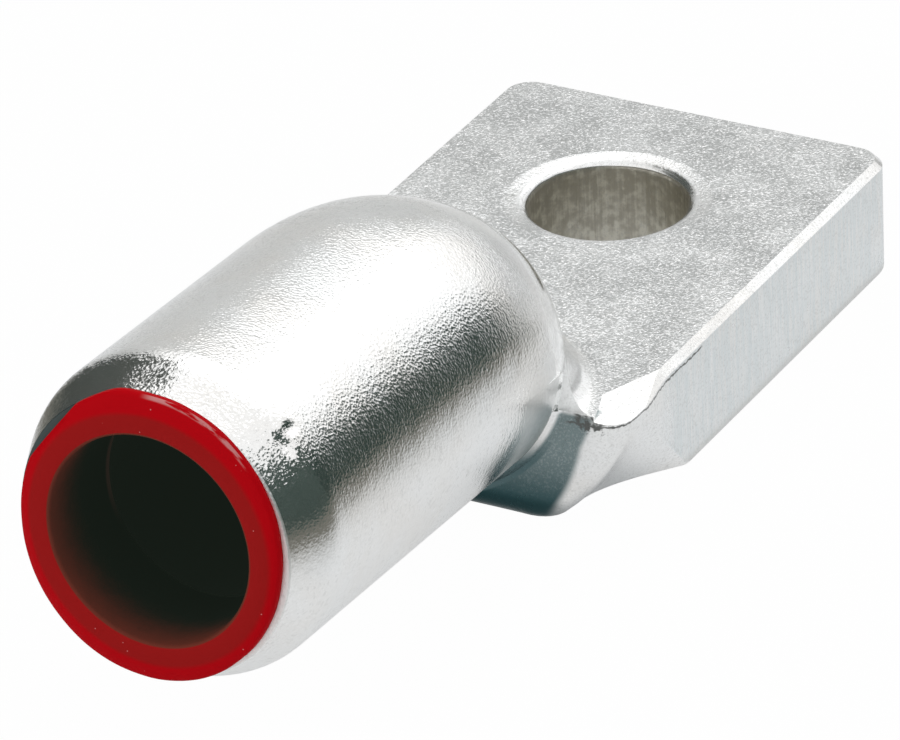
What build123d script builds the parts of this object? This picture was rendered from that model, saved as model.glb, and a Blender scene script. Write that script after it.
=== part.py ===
from build123d import *
from math import atan2, cos, degrees, hypot, radians, sin, sqrt, tan
import os

# Forged aluminium cable lug with a plastic collar in its mouth, in millimetres.
# The origin is on the bolt hole's axis at the palm's underside. +Z is up through the palm
# and +X runs along the lug, from the barrel to the palm's free end.

# Palm, the thick plate that is bolted down
PALM_WIDTH = 34.4
PALM_THICKNESS = 10.3
HOLE_TO_PALM_END = 16.9
PALM_CORNER_RADIUS = 2.7
PALM_TOP_EDGE_BEVEL = 0.6
PALM_UNDER_EDGE_RADIUS = 0.8
BOLT_HOLE_DIAMETER = 13.0
BOLT_HOLE_TOP_EDGE_RADIUS = 0.7
BOLT_HOLE_UNDER_EDGE_BEVEL = 0.4

# Barrel, the round tube that is crimped on the conductor
BARREL_DIAMETER = 26.0
BARREL_LENGTH = 39.7
BARREL_RISE_DEGREES = 3.2
BORE_DIAMETER = 16.8
BORE_DEPTH = 30.0
BORE_TIP_DEGREES = 118.0
MOUTH_TAPER_LENGTH = 3.8
MOUTH_TAPER_DEPTH = 1.7
MOUTH_BLEND_RADIUS = 5.0

# Neck, where the barrel's top bends down and ends in a dome on the palm
HOLE_TO_HEEL_FACE = 32.2
AXIS_ABOVE_PALM = 4.3
DOME_SETBACK = 3.0
DOME_DROP = 2.0
BEND_LENGTH = 7.6
DOME_FILLET_RADIUS = 2.8
DOME_FILLET_END_DEGREES = 50.0

# Heel, the round land under the neck that flares out to the palm
HEEL_STEP = 5.5
HEEL_LAND_LENGTH = 2.9
FLARE_LENGTH = 11.0
FLARE_END_SLOPE = 0.5
HEEL_FACE_EDGE_RADIUS = 2.4
HEEL_UNDER_EDGE_RADIUS = 1.6
HEEL_CONE_SIZE = 0.6
SHOULDER_LENGTH = 6.5
SHOULDER_BEVEL_WIDTH = 4.8
SHOULDER_BEVEL_LENGTH = 12.2
SHOULDER_BEVEL_DROP = 0.8

# Collar, the plastic ring that lines the mouth
COLLAR_FLANGE_THICKNESS = 1.0
COLLAR_BEVEL_WIDTH = 1.2
COLLAR_BEVEL_DEPTH = 0.4
COLLAR_FLAT_DEPTH = 0.5
COLLAR_FLAT_DEGREES = 50.0
COLLAR_SLEEVE_LENGTH = 7.8
COLLAR_SLEEVE_WALL = 1.0
COLLAR_OUTER_EDGE_BEVEL = 0.25
COLLAR_INNER_EDGE_BEVEL = 0.25
COLLAR_RADIAL_GAP = 0.05
COLLAR_END_GAP = 0.1

# Two sizes closer than this are the same size
SAME_SIZE = 0.001

# Sizes that follow from the ones above
barrel_radius = BARREL_DIAMETER / 2
bore_radius = BORE_DIAMETER / 2
bolt_hole_radius = BOLT_HOLE_DIAMETER / 2
bore_tip_length = bore_radius / tan(radians(BORE_TIP_DEGREES / 2))
mouth_x = -BARREL_LENGTH
bend_start_x = -DOME_SETBACK - BEND_LENGTH
bend_turn = 2 * atan2(DOME_DROP, BEND_LENGTH)
bend_radius = BEND_LENGTH / sin(bend_turn)
parting_height = -DOME_DROP / 2
rise = radians(BARREL_RISE_DEGREES)
axis_height = PALM_THICKNESS + AXIS_ABOVE_PALM
palm_half_width = PALM_WIDTH / 2
heel_face_x = -HOLE_TO_HEEL_FACE
heel_radius = barrel_radius + HEEL_STEP
shoulder_half_width = sqrt(heel_radius**2 - AXIS_ABOVE_PALM**2)
plate_start_x = heel_face_x - axis_height * tan(rise) - HEEL_UNDER_EDGE_RADIUS
flare_start_x = HEEL_LAND_LENGTH
flare_end_x = HEEL_LAND_LENGTH + FLARE_LENGTH
flare_end_radius = hypot(palm_half_width, axis_height)
palm_length = HOLE_TO_HEEL_FACE + HOLE_TO_PALM_END
flange_radius = barrel_radius - MOUTH_TAPER_DEPTH
sleeve_radius = bore_radius + COLLAR_SLEEVE_WALL
seat_radius = sleeve_radius + COLLAR_RADIAL_GAP
seat_length = COLLAR_SLEEVE_LENGTH + COLLAR_END_GAP

# The barrel's frame has its origin on the barrel's axis at the heel's face, and +X points at the palm
barrel_frame = Location((heel_face_x, 0, axis_height), (0, BARREL_RISE_DEGREES, 0))


# The ball of the dome, and the fillet that rolls between it and the palm's top
dome_centre = (barrel_frame * Pos(-DOME_SETBACK, 0, -DOME_DROP)).position
dome_centre_height = dome_centre.Z - PALM_THICKNESS
dome_reach = barrel_radius + DOME_FILLET_RADIUS
dome_foot_r = sqrt(dome_reach**2 - (dome_centre_height - DOME_FILLET_RADIUS) ** 2)
dome_fillet_r = dome_foot_r * barrel_radius / dome_reach
dome_fillet_z = dome_centre_height + (DOME_FILLET_RADIUS - dome_centre_height) * barrel_radius / dome_reach


def outline(*lines):
    """One face from lines and arcs that meet end to end."""
    return make_face(Curve() + list(lines))


def disc_on_axis(x, radius):
    """A disc square to the barrel's axis, facing the palm."""
    return Plane((x, 0, 0), x_dir=(0, 1, 0), z_dir=(1, 0, 0)) * Circle(radius)


def straight_barrel():
    """The tube's outside as a full round that tapers in at the mouth and blends out of the taper."""
    taper_turn = atan2(MOUTH_TAPER_DEPTH, MOUTH_TAPER_LENGTH)
    blend_reach = MOUTH_BLEND_RADIUS * tan(taper_turn / 2)
    blend_start_x = mouth_x + MOUTH_TAPER_LENGTH - blend_reach * cos(taper_turn)
    end_edge = (mouth_x, flange_radius)
    blend_start = (blend_start_x, barrel_radius - blend_reach * sin(taper_turn))
    blend_end = (mouth_x + MOUTH_TAPER_LENGTH + blend_reach, barrel_radius)
    return revolve(
        outline(
            Line((mouth_x, 0), end_edge),
            Line(end_edge, blend_start),
            RadiusArc(blend_start, blend_end, MOUTH_BLEND_RADIUS),
            Line(blend_end, (bend_start_x, barrel_radius)),
            Line((bend_start_x, barrel_radius), (bend_start_x, 0)),
            Line((bend_start_x, 0), (mouth_x, 0)),
        ),
        Axis.X,
    )


def neck():
    """The top half bends down into the dome and the lower half runs straight on to the heel."""
    start_disc = disc_on_axis(bend_start_x, barrel_radius)
    bend = revolve(start_disc, Axis((bend_start_x, 0, -bend_radius), (0, 1, 0)), degrees(bend_turn))
    quarter = outline(
        Line((0, 0), (barrel_radius, 0)),
        RadiusArc((barrel_radius, 0), (0, barrel_radius), -barrel_radius),
        Line((0, barrel_radius), (0, 0)),
    )
    dome_frame = Location((-DOME_SETBACK, 0, -DOME_DROP), (0, degrees(bend_turn), 0))
    dome = dome_frame * revolve(quarter, Axis.X)
    parting_plane = Plane((0, 0, parting_height))
    upper = split(bend + dome, parting_plane, keep=Keep.TOP)
    lower = split(extrude(start_disc, -bend_start_x), parting_plane, keep=Keep.BOTTOM)
    ball = Pos(-DOME_SETBACK, 0, -DOME_DROP) * Sphere(barrel_radius)
    ahead_and_below = (Align.MIN, Align.CENTER, Align.MAX)
    room_over_palm = Box(BARREL_DIAMETER, BARREL_DIAMETER, axis_height / 2, align=ahead_and_below)
    dome_foot = ball & Pos(0, 0, parting_height) * room_over_palm
    return upper + lower + dome_foot


def palm_plan():
    """The palm from above: wide shoulders at the heel that draw in to the plate's width."""
    land_end = (heel_face_x + HEEL_LAND_LENGTH, shoulder_half_width)
    side_start = (heel_face_x + HEEL_LAND_LENGTH + SHOULDER_LENGTH, palm_half_width)
    half = Curve() + [
        Line((plate_start_x, 0), (plate_start_x, shoulder_half_width)),
        Line((plate_start_x, shoulder_half_width), land_end),
        Spline(land_end, side_start, tangents=((1, 0), (1, 0))),
        Line(side_start, (HOLE_TO_PALM_END, palm_half_width)),
        Line((HOLE_TO_PALM_END, palm_half_width), (HOLE_TO_PALM_END, 0)),
    ]
    plan = make_face(half + mirror(half, Plane.XZ))
    end_corners = plan.vertices().group_by(Axis.X)[-1]
    return fillet(end_corners, PALM_CORNER_RADIUS)


def heel_envelope():
    """The heel's round land and flare about the barrel's axis, and all the room beyond them."""
    face_edge = (0, heel_radius - HEEL_FACE_EDGE_RADIUS)
    land_start = (HEEL_FACE_EDGE_RADIUS, heel_radius)
    land_end = (flare_start_x, heel_radius)
    flare_end = (flare_end_x, flare_end_radius)
    flare = revolve(
        outline(
            Line((0, 0), face_edge),
            RadiusArc(face_edge, land_start, HEEL_FACE_EDGE_RADIUS),
            Line(land_start, land_end),
            Spline(land_end, flare_end, tangents=((1, 0), (1, FLARE_END_SLOPE))),
            Line(flare_end, (flare_end_x, 0)),
            Line((flare_end_x, 0), (0, 0)),
        ),
        Axis.X,
    )
    ahead = (Align.MIN, Align.CENTER, Align.CENTER)
    room = Box(palm_length, 2 * flare_end_radius, 2 * flare_end_radius, align=ahead)
    return barrel_frame * (flare + Pos(flare_end_x, 0, 0) * room)


def shoulder_bevel_plane(side):
    """The plane of the bevel that turns one shoulder's corner down, facing up."""
    in_front = Vector(heel_face_x, side * (shoulder_half_width - SHOULDER_BEVEL_WIDTH), PALM_THICKNESS)
    behind = Vector(heel_face_x + SHOULDER_BEVEL_LENGTH, side * shoulder_half_width, PALM_THICKNESS)
    corner = Vector(heel_face_x, side * shoulder_half_width, PALM_THICKNESS - SHOULDER_BEVEL_DROP)
    normal = (behind - in_front).cross(corner - in_front)
    return Plane(in_front, z_dir=side * normal)


def round_underside(plate):
    """The heel's wider radius under its face, then the smaller one round the rest of the underside."""
    heel_edge = plate.faces().sort_by(Axis.Z)[0].edges().sort_by(Axis.X)[0]
    plate = fillet(heel_edge, HEEL_UNDER_EDGE_RADIUS)
    other_edges = plate.faces().sort_by(Axis.Z)[0].edges().sort_by(Axis.X)[1:]
    return fillet(other_edges, PALM_UNDER_EDGE_RADIUS)


def bolt_hole_rims(plate):
    """The bolt hole's round edges, the lowest first."""
    round_edges = plate.edges().filter_by(GeomType.CIRCLE)
    on_wall = round_edges.filter_by(lambda e: abs(e.radius - bolt_hole_radius) < SAME_SIZE)
    return on_wall.sort_by(Axis.Z)


def palm():
    """The plate with its heel, bevelled shoulders and bolt hole."""
    plate = extrude(palm_plan(), PALM_THICKNESS)
    plate = chamfer(plate.faces().sort_by(Axis.Z)[-1].edges(), PALM_TOP_EDGE_BEVEL)
    plate = plate & heel_envelope()
    for side in (-1, 1):
        plate = split(plate, shoulder_bevel_plane(side), keep=Keep.BOTTOM)
    plate = round_underside(plate)
    plate -= Cylinder(bolt_hole_radius, PALM_THICKNESS, align=(Align.CENTER, Align.CENTER, Align.MIN))
    plate = chamfer(bolt_hole_rims(plate)[0], BOLT_HOLE_UNDER_EDGE_BEVEL)
    return fillet(bolt_hole_rims(plate)[-1], BOLT_HOLE_TOP_EDGE_RADIUS)


def dome_fillet():
    """The rolled fillet round the dome's foot, turned about the upright line through its centre.

    Its two ends lean back from the top of the heel's face.
    """
    inner = dome_fillet_r - DOME_FILLET_RADIUS
    sunk = -SHOULDER_BEVEL_DROP
    section = Plane.XZ * outline(
        Line((inner, sunk), (dome_foot_r, sunk)),
        Line((dome_foot_r, sunk), (dome_foot_r, 0)),
        RadiusArc((dome_foot_r, 0), (dome_fillet_r, dome_fillet_z), DOME_FILLET_RADIUS),
        Line((dome_fillet_r, dome_fillet_z), (inner, dome_fillet_z)),
        Line((inner, dome_fillet_z), (inner, sunk)),
    )
    ring = Pos(dome_centre.X, 0, PALM_THICKNESS) * revolve(section, Axis.Z)
    room = 2 * dome_reach
    ahead = Box(room, room, room, align=(Align.MIN, Align.CENTER, Align.CENTER))
    top_of_face = barrel_frame * Pos(0, 0, -AXIS_ABOVE_PALM)
    leaning = Rot(0, DOME_FILLET_END_DEGREES, 0)
    return ring & top_of_face * ahead & top_of_face * leaning * ahead


def heel_cone():
    """The small cone where the barrel's lower half runs into the heel's face."""
    section = outline(
        Line((0, bore_radius), (0, barrel_radius + HEEL_CONE_SIZE)),
        Line((0, barrel_radius + HEEL_CONE_SIZE), (-HEEL_CONE_SIZE, barrel_radius)),
        Line((-HEEL_CONE_SIZE, barrel_radius), (-HEEL_CONE_SIZE, bore_radius)),
        Line((-HEEL_CONE_SIZE, bore_radius), (0, bore_radius)),
    )
    reach = 2 * heel_radius
    room_below_palm_top = Box(reach, reach, reach, align=(Align.CENTER, Align.CENTER, Align.MAX))
    return revolve(section, Axis.X) & Pos(0, 0, -AXIS_ABOVE_PALM) * room_below_palm_top


def conductor_bore():
    """The drilled blind bore, with the wider seat for the collar's sleeve at its mouth."""
    drilled = revolve(
        outline(
            Line((mouth_x, 0), (mouth_x, bore_radius)),
            Line((mouth_x, bore_radius), (mouth_x + BORE_DEPTH, bore_radius)),
            Line((mouth_x + BORE_DEPTH, bore_radius), (mouth_x + BORE_DEPTH + bore_tip_length, 0)),
            Line((mouth_x + BORE_DEPTH + bore_tip_length, 0), (mouth_x, 0)),
        ),
        Axis.X,
    )
    return drilled + extrude(disc_on_axis(mouth_x, seat_radius), seat_length)


def lug_body():
    """The one-piece forging: barrel, neck, heel and palm."""
    barrel = straight_barrel() + neck() + heel_cone()
    return barrel_frame * barrel + palm() + dome_fillet() - barrel_frame * conductor_bore()


def mouth_collar():
    """The collar: a bevelled flange on the barrel's end and a sleeve in its seat, as one ring."""
    front_x = mouth_x - COLLAR_FLANGE_THICKNESS
    bevel_start = (front_x, flange_radius - COLLAR_BEVEL_WIDTH)
    bevel_end = (front_x + COLLAR_BEVEL_DEPTH, flange_radius)
    sleeve_end_x = mouth_x + COLLAR_SLEEVE_LENGTH
    section = outline(
        Line((front_x, bore_radius), bevel_start),
        Line(bevel_start, bevel_end),
        Line(bevel_end, (mouth_x, flange_radius)),
        Line((mouth_x, flange_radius), (mouth_x, sleeve_radius)),
        Line((mouth_x, sleeve_radius), (sleeve_end_x, sleeve_radius)),
        Line((sleeve_end_x, sleeve_radius), (sleeve_end_x, bore_radius)),
        Line((sleeve_end_x, bore_radius), (front_x, bore_radius)),
    )
    ring = revolve(section, Axis.X)
    rims = ring.edges().filter_by(GeomType.CIRCLE).group_by(Axis.X)
    ring = chamfer(rims[1], COLLAR_OUTER_EDGE_BEVEL)
    front_rims = ring.edges().filter_by(GeomType.CIRCLE).group_by(Axis.X)[0].sort_by(SortBy.RADIUS)
    ring = chamfer(front_rims[0], COLLAR_INNER_EDGE_BEVEL)
    in_front_and_above = (Align.MAX, Align.CENTER, Align.MIN)
    off_cut = Box(BARREL_DIAMETER, BARREL_DIAMETER, BARREL_DIAMETER, align=in_front_and_above)
    flat = Rot(COLLAR_FLAT_DEGREES - 90, 0, 0) * Pos(mouth_x, 0, flange_radius - COLLAR_FLAT_DEPTH)
    return barrel_frame * (ring - flat * off_cut)


os.makedirs("parts", exist_ok=True)
export_step(lug_body(), "parts/lug_body.step")
export_step(mouth_collar(), "parts/mouth_collar.step")
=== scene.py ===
"""Forged aluminium cable lug with a red mouth collar, dressed and lit as a studio picture.

Lengths are in millimetres, apart from those of the studio and of the finished meshes, which
are in metres. The lug's frame has its origin on the bolt hole's axis at the palm's underside.
"""

import logging
import math
from dataclasses import dataclass
from enum import Enum

import bmesh
import bpy
from mathutils import Matrix, Vector, noise

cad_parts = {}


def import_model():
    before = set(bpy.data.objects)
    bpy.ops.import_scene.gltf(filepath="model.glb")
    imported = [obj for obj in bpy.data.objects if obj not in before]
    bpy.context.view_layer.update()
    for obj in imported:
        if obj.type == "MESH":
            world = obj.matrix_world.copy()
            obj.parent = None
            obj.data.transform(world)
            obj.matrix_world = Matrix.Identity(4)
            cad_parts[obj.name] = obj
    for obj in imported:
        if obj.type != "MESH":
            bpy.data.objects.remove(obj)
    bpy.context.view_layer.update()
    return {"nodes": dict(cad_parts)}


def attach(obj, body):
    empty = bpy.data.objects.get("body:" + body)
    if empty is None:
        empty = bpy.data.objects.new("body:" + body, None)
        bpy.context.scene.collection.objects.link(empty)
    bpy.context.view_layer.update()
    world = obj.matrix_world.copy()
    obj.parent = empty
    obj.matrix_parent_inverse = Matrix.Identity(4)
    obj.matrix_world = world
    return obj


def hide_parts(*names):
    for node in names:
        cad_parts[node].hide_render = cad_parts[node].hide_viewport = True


LOG = logging.getLogger("cable_lug")
MM = 0.001

Triple = tuple[float, float, float]
Colour = Triple
EVEN: Triple = (1.0, 1.0, 1.0)
BLACK: Colour = (0.0, 0.0, 0.0)
WHITE: Colour = (1.0, 1.0, 1.0)


class Rule(Enum):
    """What a Math node works out."""

    ADD = "ADD"
    SUBTRACT = "SUBTRACT"
    MULTIPLY = "MULTIPLY"
    DIVIDE = "DIVIDE"
    LARGER = "MAXIMUM"
    SMALLER = "MINIMUM"
    TURN = "ARCTAN2"
    ROOT = "SQRT"
    SIZE = "ABSOLUTE"


class Number:
    """A number that a shader works out at each point. Arithmetic on it adds Math nodes."""

    def __init__(self, shader: "Shader", socket: bpy.types.NodeSocket) -> None:
        """Keeps the shader and the socket that the number comes from."""
        self.shader = shader
        self.socket = socket

    def math(self, rule: Rule, *others: "Number | float") -> "Number":
        """One Math node on this number.

        Args:
            rule: what the node works out.
            others: the node's other values.

        Returns:
            The node's result.
        """
        values = dict(enumerate((self, *others)))
        return self.shader.number("ShaderNodeMath", {"operation": rule.value}, values)

    def reflected(self, rule: Rule, first: float) -> "Number":
        """One Math node with this number in second place."""
        values = {0: first, 1: self}
        return self.shader.number("ShaderNodeMath", {"operation": rule.value}, values)

    def __add__(self, other: "Number | float") -> "Number":
        """The sum."""
        return self.math(Rule.ADD, other)

    def __radd__(self, other: float) -> "Number":
        """The sum, with the plain number first."""
        return self.reflected(Rule.ADD, other)

    def __sub__(self, other: "Number | float") -> "Number":
        """The difference."""
        return self.math(Rule.SUBTRACT, other)

    def __rsub__(self, other: float) -> "Number":
        """The difference, with the plain number first."""
        return self.reflected(Rule.SUBTRACT, other)

    def __mul__(self, other: "Number | float") -> "Number":
        """The product."""
        return self.math(Rule.MULTIPLY, other)

    def __rmul__(self, other: float) -> "Number":
        """The product, with the plain number first."""
        return self.reflected(Rule.MULTIPLY, other)

    def __truediv__(self, other: "Number | float") -> "Number":
        """The quotient."""
        return self.math(Rule.DIVIDE, other)

    def __abs__(self) -> "Number":
        """The size without its sign."""
        return self.math(Rule.SIZE)

    def between(self, low: float, high: float) -> "Number":
        """Low where this number is 0, high where it is 1, and in proportion between."""
        return low + (high - low) * self


class Shader:
    """The nodes of a material, or of the world, under construction."""

    def __init__(self, owner: bpy.types.Material | bpy.types.World) -> None:
        """Clears the owner's nodes."""
        owner.use_nodes = True
        self.owner = owner
        self.tree = owner.node_tree
        self.tree.nodes.clear()

    @classmethod
    def named(cls, name: str) -> "Shader":
        """Starts a new material of that name."""
        return cls(bpy.data.materials.new(name))

    def node(self, kind: str, settings: dict, inputs: dict) -> bpy.types.Node:
        """Adds one node.

        Args:
            kind: the node's type.
            settings: its properties, which are set first.
            inputs: values or links by the sockets' names or places.

        Returns:
            The node.
        """
        made = self.tree.nodes.new(kind)
        for key, value in settings.items():
            setattr(made, key, value)
        for key, value in inputs.items():
            socket = made.inputs[key]
            if isinstance(value, Number):
                self.tree.links.new(value.socket, socket)
            elif isinstance(value, bpy.types.NodeSocket):
                self.tree.links.new(value, socket)
            else:
                socket.default_value = value
        return made

    def number(self, kind: str, settings: dict, inputs: dict, output: int | str = 0) -> Number:
        """Adds one node and takes one of its outputs as a number."""
        return Number(self, self.node(kind, settings, inputs).outputs[output])

    def vector(self, operation: str, inputs: dict) -> bpy.types.NodeSocket:
        """Adds one Vector Math node and takes the vector that it works out."""
        return self.node("ShaderNodeVectorMath", {"operation": operation}, inputs).outputs[0]

    def blend(
        self,
        factor: Number,
        first: Colour | bpy.types.NodeSocket,
        second: Colour | bpy.types.NodeSocket,
    ) -> bpy.types.NodeSocket:
        """A colour between two others.

        Args:
            factor: 0 for the first colour, 1 for the second.
            first: a colour or a colour's socket.
            second: a colour or a colour's socket.

        Returns:
            The blended colour's socket.
        """
        settings = {"data_type": "RGBA", "blend_type": "MIX"}
        values = {0: factor, 6: self.solid(first), 7: self.solid(second)}
        return self.node("ShaderNodeMix", settings, values).outputs[2]

    @staticmethod
    def solid(colour: Colour | bpy.types.NodeSocket) -> tuple | bpy.types.NodeSocket:
        """A plain colour with its alpha, or the socket as it is."""
        return colour if isinstance(colour, bpy.types.NodeSocket) else (*colour, 1.0)

    def place(self) -> bpy.types.NodeSocket:
        """The point on the piece in millimetres."""
        point = self.node("ShaderNodeTexCoord", {}, {}).outputs["Object"]
        return self.vector("SCALE", {0: point, "Scale": 1 / MM})

    def normal(self) -> bpy.types.NodeSocket:
        """The surface's normal before any bump."""
        return self.node("ShaderNodeNewGeometry", {}, {}).outputs["Normal"]

    def axes(self, vector: bpy.types.NodeSocket) -> tuple[Number, Number, Number]:
        """The three numbers of a vector."""
        split = self.node("ShaderNodeSeparateXYZ", {}, {0: vector})
        return tuple(Number(self, socket) for socket in split.outputs)

    def joined(self, first: Number, second: Number, third: Number) -> bpy.types.NodeSocket:
        """A vector of three numbers."""
        return self.node("ShaderNodeCombineXYZ", {}, {0: first, 1: second, 2: third}).outputs[0]

    def bumped(
        self, height: Number, normal: bpy.types.NodeSocket | None = None
    ) -> bpy.types.NodeSocket:
        """The normal of a surface that is raised by a height.

        Args:
            height: how far it is raised, in millimetres.
            normal: the normal that the bump starts from, or none for the surface's own.

        Returns:
            The bumped normal's socket.
        """
        inputs = {"Strength": 1.0, "Distance": MM, "Height": height}
        if normal is not None:
            inputs["Normal"] = normal
        return self.node("ShaderNodeBump", {}, inputs).outputs[0]

    def rays(self) -> tuple[Number, Number, Number]:
        """1 for the rays that come from the camera, from gloss and through clear things.

        Returns:
            The three numbers.
        """
        path = self.node("ShaderNodeLightPath", {}, {})
        names = ("Is Camera Ray", "Is Glossy Ray", "Is Transmission Ray")
        return tuple(Number(self, path.outputs[name]) for name in names)

    def principled(self, inputs: dict) -> bpy.types.Material:
        """Finishes the material with one Principled shader."""
        return self.finish(self.node("ShaderNodeBsdfPrincipled", {}, inputs).outputs[0])

    def finish(self, surface: bpy.types.NodeSocket) -> bpy.types.Material:
        """Links the surface to the material's output and gives the material.

        No surface is sampled as a lamp: the faint glow of some lights nothing, and sampling
        it nearly doubles the render's time.

        Args:
            surface: the shader's socket.

        Returns:
            The material.
        """
        self.node("ShaderNodeOutputMaterial", {}, {"Surface": surface})
        self.owner.cycles.emission_sampling = "NONE"
        return self.owner


@dataclass(frozen=True)
class Step:
    """A smooth step from 0 at its start to 1 at its end. Either may be the larger."""

    start: float
    end: float

    def on(self, number: Number) -> Number:
        """How far a number has come up the step.

        Args:
            number: the number.

        Returns:
            The step's height there, from 0 to 1.
        """
        rising = self.start < self.end
        values = {
            "Value": number,
            "From Min": min(self.start, self.end),
            "From Max": max(self.start, self.end),
            "To Min": 0.0 if rising else 1.0,
            "To Max": 1.0 if rising else 0.0,
        }
        settings = {"interpolation_type": "SMOOTHSTEP"}
        return number.shader.number("ShaderNodeMapRange", settings, values)


@dataclass(frozen=True)
class Band:
    """A stretch from low to high, with soft edges of the given half width."""

    low: float
    high: float
    soft: float

    def on(self, number: Number) -> Number:
        """1 for a number inside the stretch and 0 outside it.

        Args:
            number: the number.

        Returns:
            How far it is inside, from 0 to 1.
        """
        rise = Step(self.low - self.soft, self.low + self.soft)
        fall = Step(self.high + self.soft, self.high - self.soft)
        return rise.on(number) * fall.on(number)


@dataclass(frozen=True)
class Grain:
    """Noise laid over a piece. The stretch scales each axis of the point by itself first."""

    per_mm: float
    detail: float = 2.0
    stretch: Triple = EVEN
    roughness: float = 0.55

    def at(self, shader: Shader, point: bpy.types.NodeSocket) -> Number:
        """The noise at a point.

        Args:
            shader: the material that is grained.
            point: the point, in millimetres.

        Returns:
            The noise, from 0 to 1.
        """
        if self.stretch != EVEN:
            point = shader.vector("MULTIPLY", {0: point, 1: self.stretch})
        values = {
            "Vector": point,
            "Scale": self.per_mm,
            "Detail": self.detail,
            "Roughness": self.roughness,
        }
        return shader.number("ShaderNodeTexNoise", {}, values)


@dataclass(frozen=True)
class Cells:
    """Small cells scattered over a piece."""

    per_mm: float

    def node(self, shader: Shader, point: bpy.types.NodeSocket) -> bpy.types.Node:
        """The texture node that lays the cells."""
        values = {"Vector": point, "Scale": self.per_mm}
        return shader.node("ShaderNodeTexVoronoi", {"feature": "F1"}, values)

    def distance(self, shader: Shader, point: bpy.types.NodeSocket) -> Number:
        """How far a point is from its cell's middle, in cells."""
        return Number(shader, self.node(shader, point).outputs["Distance"])

    def tilted(
        self, shader: Shader, point: bpy.types.NodeSocket, tilt: Number
    ) -> bpy.types.NodeSocket:
        """The surface's normal, tilted at random in each cell.

        Args:
            shader: the material that is faceted.
            point: the point, in millimetres.
            tilt: how far the normal leans at most.

        Returns:
            The tilted normal's socket.
        """
        middle = 0.5
        colour = self.node(shader, point).outputs["Color"]
        leans = [(part - middle) * tilt for part in shader.axes(colour)]
        leaning = shader.vector("ADD", {0: shader.normal(), 1: shader.joined(*leans)})
        return shader.vector("NORMALIZE", {0: leaning})


@dataclass(frozen=True)
class BarrelAxis:
    """Where the barrel's axis lies: its origin is at the heel's face and it points at the palm."""

    heel_x: float = -32.2
    height: float = 14.6
    rise_degrees: float = 3.2

    def matrix(self) -> Matrix:
        """From the barrel's own frame, in metres, to the lug's."""
        turn = Matrix.Rotation(math.radians(self.rise_degrees), 4, "Y")
        return Matrix.Translation(Vector((self.heel_x, 0, self.height)) * MM) @ turn

    def coordinates(self, shader: Shader) -> tuple[Number, Number, Number]:
        """The place along the axis, the distance above it and the distance from it.

        Args:
            shader: the material that reads them.

        Returns:
            The three numbers, in millimetres.
        """
        x, y, z = shader.axes(shader.place())
        along_x = x - self.heel_x
        above_z = z - self.height
        cosine = math.cos(math.radians(self.rise_degrees))
        sine = math.sin(math.radians(self.rise_degrees))
        along = along_x * cosine - above_z * sine
        above = along_x * sine + above_z * cosine
        return along, above, (above * above + y * y).math(Rule.ROOT)


AXIS = BarrelAxis()


@dataclass(frozen=True)
class Dent:
    """One soft mark knocked into the forging. The edge is in shares of its reach."""

    centre: Triple
    reach: Triple
    depth: float
    edge: Step = Step(1.6, 0.0)

    def height(self, shader: Shader, point: bpy.types.NodeSocket) -> Number:
        """How far the dent lowers the surface at a point, in millimetres.

        Args:
            shader: the material that is dented.
            point: the point, in millimetres.

        Returns:
            The dent's height, which is negative.
        """
        away = shader.vector("SUBTRACT", {0: point, 1: self.centre})
        shares = shader.vector("DIVIDE", {0: away, 1: self.reach})
        settings = {"operation": "LENGTH"}
        far = shader.number("ShaderNodeVectorMath", settings, {0: shares}, "Value")
        return self.edge.on(far) * -self.depth


@dataclass(frozen=True)
class ForgingGrains:
    """The patterns that lie over the forging."""

    ragged: Grain = Grain(2.2, 3.0)
    drag: Grain = Grain(1.4, 3.0, (2.2, 2.2, 0.10))
    blotch: Grain = Grain(1.1, 3.0)
    wide: Grain = Grain(0.12)
    drift: Grain = Grain(0.22)
    cloud: Grain = Grain(0.6, 3.0)
    leather: Grain = Grain(2.8)
    wrinkles: Grain = Grain(1.2, 2.0, (2.6, 0.9, 0.9))
    fine: Grain = Grain(5.5, 1.0)
    brushed: Grain = Grain(1.6, 2.0, (3.0, 3.0, 0.18))
    sparks: Grain = Grain(4.8, 1.0)
    spark_cut: Step = Step(0.52, 0.68)
    cells: Cells = Cells(4.2)
    facets: Cells = Cells(5.2)


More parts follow.
